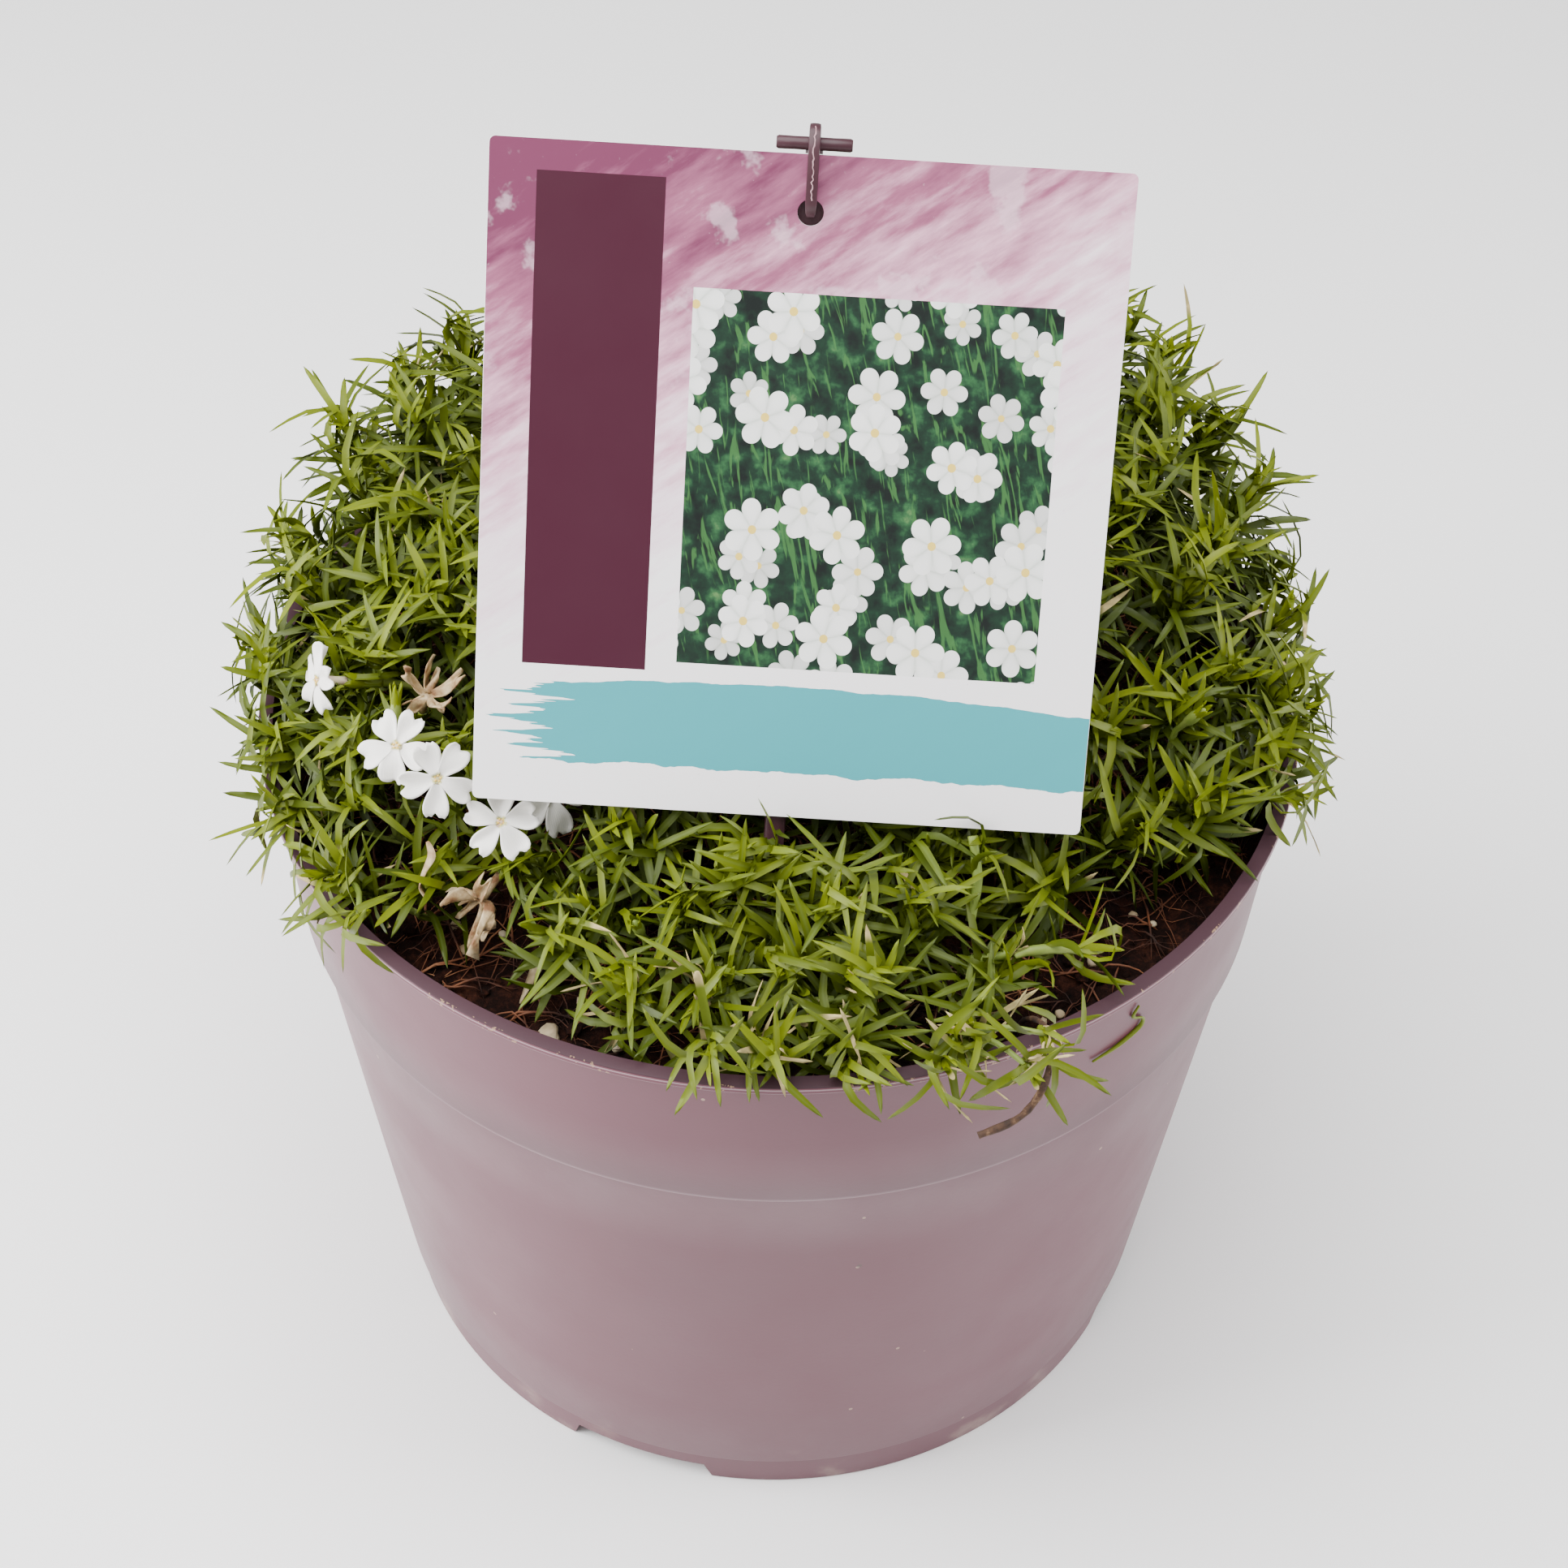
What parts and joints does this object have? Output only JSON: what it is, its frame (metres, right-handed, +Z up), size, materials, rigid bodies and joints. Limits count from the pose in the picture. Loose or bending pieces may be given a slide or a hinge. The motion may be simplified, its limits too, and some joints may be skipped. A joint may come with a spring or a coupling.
{
  "type": "potted creeping phlox",
  "caption": "creeping phlox with needle leaves and a few white flowers, in a round plastic nursery pot with a picture label on a hooked stake",
  "frame": {"origin": "On the pot's axis, in the plane the pot's foot stands on", "axes": "+X to the right seen from the front, +Y to the back, +Z up; the label faces -Y"},
  "size_m": [0.201, 0.2024, 0.2672],
  "materials": {
    "pot_plastic": "satin mauve-brown injection-moulded plastic",
    "soil": "rough dark peat soil with fibres and light grains",
    "label_card": "printed plastic card",
    "stake_plastic": "glossy dark plum-brown plastic",
    "leaf_green": "fresh green needle leaves with a faint sheen",
    "petal_white": "thin white petals",
    "dry_straw": "dry withered petals",
    "dead_stem": "dry brown stem"
  },
  "bodies": {
    "root": {"pot": "pot_plastic", "soil": "soil", "label": "label_card", "stake": "stake_plastic", "leafy_stem_01": "leaf_green", "leafy_stem_02": "leaf_green", "leafy_stem_03": "leaf_green", "leafy_stem_04": "leaf_green", "leafy_stem_05": "leaf_green", "leafy_stem_06": "leaf_green", "leafy_stem_07": "leaf_green", "leafy_stem_08": "leaf_green", "leafy_stem_09": "leaf_green", "leafy_stem_10": "leaf_green", "leafy_stem_11": "leaf_green", "leafy_stem_12": "leaf_green", "leafy_stem_13": "leaf_green", "leafy_stem_14": "leaf_green", "leafy_stem_15": "leaf_green", "leafy_stem_16": "leaf_green", "leafy_stem_17": "leaf_green", "leafy_stem_18": "leaf_green", "leafy_stem_19": "leaf_green", "leafy_stem_20": "leaf_green", "leafy_stem_21": "leaf_green", "leafy_stem_22": "leaf_green", "leafy_stem_23": "leaf_green", "leafy_stem_24": "leaf_green", "leafy_stem_25": "leaf_green", "leafy_stem_26": "leaf_green", "leafy_stem_27": "leaf_green", "leafy_stem_28": "leaf_green", "leafy_stem_29": "leaf_green", "leafy_stem_30": "leaf_green", "leafy_stem_31": "leaf_green", "leafy_stem_32": "leaf_green", "leafy_stem_33": "leaf_green", "leafy_stem_34": "leaf_green", "leafy_stem_35": "leaf_green", "leafy_stem_36": "leaf_green", "leafy_stem_37": "leaf_green", "leafy_stem_38": "leaf_green", "leafy_stem_39": "leaf_green", "leafy_stem_40": "leaf_green", "flower_1": "petal_white", "flower_2": "petal_white", "flower_3": "petal_white", "flower_4": "petal_white", "flower_5": "petal_white", "withered_flower_1": "dry_straw", "withered_flower_2": "dry_straw", "dead_twig": "dead_stem"}
  },
  "joints": []
}
